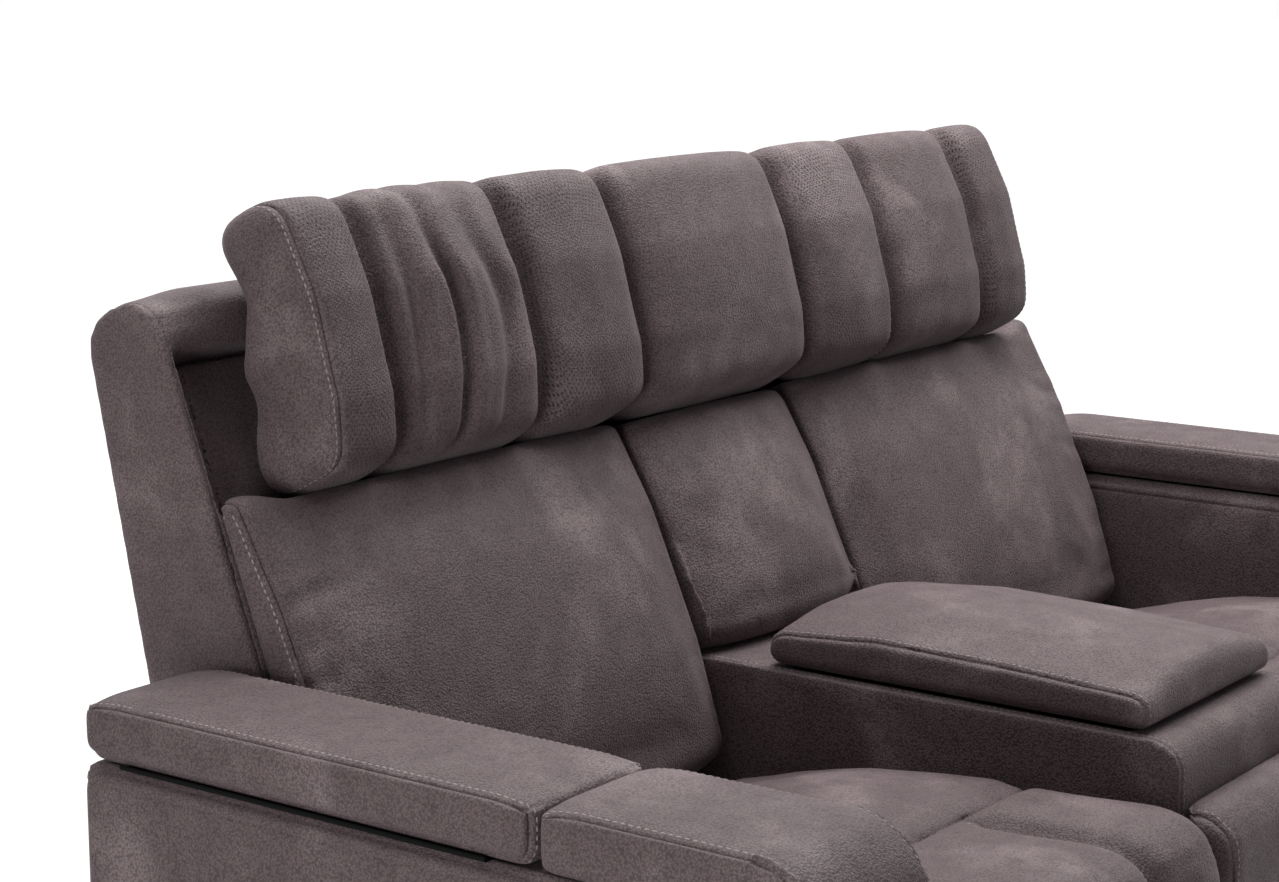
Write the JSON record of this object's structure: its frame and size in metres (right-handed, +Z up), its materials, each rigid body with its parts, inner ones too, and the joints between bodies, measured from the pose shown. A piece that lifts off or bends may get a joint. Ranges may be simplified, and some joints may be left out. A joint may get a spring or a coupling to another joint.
{
  "type": "reclining loveseat with console",
  "caption": "Upholstered loveseat whose seats recline and raise a footrest, with tilting headrests, storage arms and a lidded console between the seats.",
  "frame": {"origin": "floor level under the middle of the loveseat's bounding box", "axes": "+X along the row to the viewer's right, +Y to the back, so the front faces -Y, +Z up"},
  "size_m": [1.954, 0.9828, 1.0978],
  "materials": {
    "upholstery": "low-sheen nubuck, dark grey-brown, finely pebbled",
    "dark_steel": "black powder coat",
    "plywood": "raw plywood",
    "black_plastic": "satin moulded",
    "zinc_steel": "zinc plated"
  },
  "bodies": {
    "base": {"front_rail": "dark_steel", "rear_rail": "dark_steel", "left_front_foot": "black_plastic", "left_rear_foot": "black_plastic", "right_front_foot": "black_plastic", "right_rear_foot": "black_plastic", "console_front_foot": "black_plastic", "console_rear_foot": "black_plastic", "console_box": "upholstery", "console_lid_hinge": "zinc_steel", "console_front_pad": "upholstery", "console_back_shell": "upholstery", "console_back_pad": "upholstery", "console_head_pad": "upholstery", "left_arm_body": "upholstery", "left_arm_front_pad": "upholstery", "left_arm_lid_hinge": "zinc_steel", "left_inner_side_plate": "dark_steel", "left_outer_side_plate": "dark_steel", "left_seat_deck": "plywood", "left_seat_cushion": "upholstery", "left_actuator_motor": "black_plastic", "right_arm_body": "upholstery", "right_arm_front_pad": "upholstery", "right_arm_lid_hinge": "zinc_steel", "right_inner_side_plate": "dark_steel", "right_outer_side_plate": "dark_steel", "right_seat_deck": "plywood", "right_seat_cushion": "upholstery", "right_actuator_motor": "black_plastic"},
    "console_lid": {"console_lid": "upholstery"},
    "left_arm_lid": {"left_arm_lid": "upholstery"},
    "right_arm_lid": {"right_arm_lid": "upholstery"},
    "left_back": {"left_back_shell": "upholstery", "left_back_bracket": "dark_steel", "left_back_panel": "upholstery", "left_back_pad": "upholstery"},
    "right_back": {"right_back_shell": "upholstery", "right_back_bracket": "dark_steel", "right_back_panel": "upholstery", "right_back_pad": "upholstery"},
    "left_headrest": {"left_headrest_pad": "upholstery", "left_headrest_bracket": "dark_steel"},
    "right_headrest": {"right_headrest_pad": "upholstery", "right_headrest_bracket": "dark_steel"},
    "left_rear_links": {"left_rear_links": "dark_steel"},
    "right_rear_links": {"right_rear_links": "dark_steel"},
    "left_front_links": {"left_front_links": "dark_steel"},
    "right_front_links": {"right_front_links": "dark_steel"},
    "left_footrest": {"left_footrest_board": "plywood", "left_footrest_pad": "upholstery"},
    "right_footrest": {"right_footrest_board": "plywood", "right_footrest_pad": "upholstery"},
    "left_actuator_rod": {"left_actuator_rod": "zinc_steel"},
    "right_actuator_rod": {"right_actuator_rod": "zinc_steel"},
    "left_recline_switch": {"left_recline_switch": "black_plastic"},
    "right_recline_switch": {"right_recline_switch": "black_plastic"},
    "left_headrest_switch": {"left_headrest_switch": "black_plastic"},
    "right_headrest_switch": {"right_headrest_switch": "black_plastic"}
  },
  "joints": [
    {"name": "left_recline", "type": "hinge", "parent": "base", "child": "left_back", "pos_m": [-0.484, 0.2, 0.33], "axis": [-1, 0, 0], "range_deg": [0, 38]},
    {"name": "right_recline", "type": "hinge", "parent": "base", "child": "right_back", "pos_m": [0.484, 0.2, 0.33], "axis": [-1, 0, 0], "range_deg": [0, 38]},
    {"name": "left_headrest_tilt", "type": "hinge", "parent": "left_back", "child": "left_headrest", "pos_m": [-0.484, 0.27521, 0.82248], "axis": [1, 0, 0], "range_deg": [0, 35]},
    {"name": "right_headrest_tilt", "type": "hinge", "parent": "right_back", "child": "right_headrest", "pos_m": [0.484, 0.27521, 0.82248], "axis": [1, 0, 0], "range_deg": [0, 35]},
    {"name": "left_rear_link", "type": "hinge", "parent": "base", "child": "left_rear_links", "pos_m": [-0.484, -0.355, 0.2577], "axis": [-1, 0, 0], "range_deg": [0, 53.01]},
    {"name": "right_rear_link", "type": "hinge", "parent": "base", "child": "right_rear_links", "pos_m": [0.484, -0.355, 0.2577], "axis": [-1, 0, 0], "range_deg": [0, 53.01]},
    {"name": "left_front_link", "type": "hinge", "parent": "left_rear_links", "child": "left_front_links", "pos_m": [-0.484, -0.3971, 0.07242], "axis": [1, 0, 0], "range_deg": [0, 106.01]},
    {"name": "right_front_link", "type": "hinge", "parent": "right_rear_links", "child": "right_front_links", "pos_m": [0.484, -0.3971, 0.07242], "axis": [1, 0, 0], "range_deg": [0, 106.01]},
    {"name": "left_footrest_swing", "type": "hinge", "parent": "left_front_links", "child": "left_footrest", "pos_m": [-0.484, -0.39975, 0.2624], "axis": [-1, 0, 0], "range_deg": [0, 138.01]},
    {"name": "right_footrest_swing", "type": "hinge", "parent": "right_front_links", "child": "right_footrest", "pos_m": [0.484, -0.39975, 0.2624], "axis": [-1, 0, 0], "range_deg": [0, 138.01]},
    {"name": "left_actuator_stroke", "type": "slide", "parent": "base", "child": "left_actuator_rod", "axis": [0, -1, 0], "range_m": [0, 0.05351]},
    {"name": "right_actuator_stroke", "type": "slide", "parent": "base", "child": "right_actuator_rod", "axis": [0, -1, 0], "range_m": [0, 0.05351]},
    {"name": "left_arm_lid_hinge", "type": "hinge", "parent": "base", "child": "left_arm_lid", "pos_m": [-0.9725, 0.0585, 0.603], "axis": [0, -1, 0], "range_deg": [0, 95]},
    {"name": "right_arm_lid_hinge", "type": "hinge", "parent": "base", "child": "right_arm_lid", "pos_m": [0.9725, 0.0585, 0.603], "axis": [0, 1, 0], "range_deg": [0, 95]},
    {"name": "console_lid_hinge", "type": "hinge", "parent": "base", "child": "console_lid", "pos_m": [0, 0.1065, 0.549], "axis": [-1, 0, 0], "range_deg": [0, 80]},
    {"name": "left_recline_rocker", "type": "hinge", "parent": "base", "child": "left_recline_switch", "pos_m": [-0.807, -0.33, 0.535], "axis": [0, 0, 1], "range_deg": [-6, 6], "stiffness_Nm_per_rad": 0.05},
    {"name": "right_recline_rocker", "type": "hinge", "parent": "base", "child": "right_recline_switch", "pos_m": [0.807, -0.33, 0.535], "axis": [0, 0, 1], "range_deg": [-6, 6], "stiffness_Nm_per_rad": 0.05},
    {"name": "left_headrest_rocker", "type": "hinge", "parent": "base", "child": "left_headrest_switch", "pos_m": [-0.807, -0.33, 0.505], "axis": [0, 0, 1], "range_deg": [-6, 6], "stiffness_Nm_per_rad": 0.05},
    {"name": "right_headrest_rocker", "type": "hinge", "parent": "base", "child": "right_headrest_switch", "pos_m": [0.807, -0.33, 0.505], "axis": [0, 0, 1], "range_deg": [-6, 6], "stiffness_Nm_per_rad": 0.05}
  ],
  "couplings": [
    {"joint": "left_rear_link", "follows": "left_recline", "ratio": 1.3947},
    {"joint": "right_rear_link", "follows": "right_recline", "ratio": 1.3947},
    {"joint": "left_front_link", "follows": "left_recline", "ratio": 2.7895},
    {"joint": "right_front_link", "follows": "right_recline", "ratio": 2.7895},
    {"joint": "left_footrest_swing", "follows": "left_recline", "ratio": 3.6316},
    {"joint": "right_footrest_swing", "follows": "right_recline", "ratio": 3.6316},
    {"joint": "left_actuator_stroke", "follows": "left_recline", "m_per_rad": 0.080667},
    {"joint": "right_actuator_stroke", "follows": "right_recline", "m_per_rad": 0.080667}
  ]
}
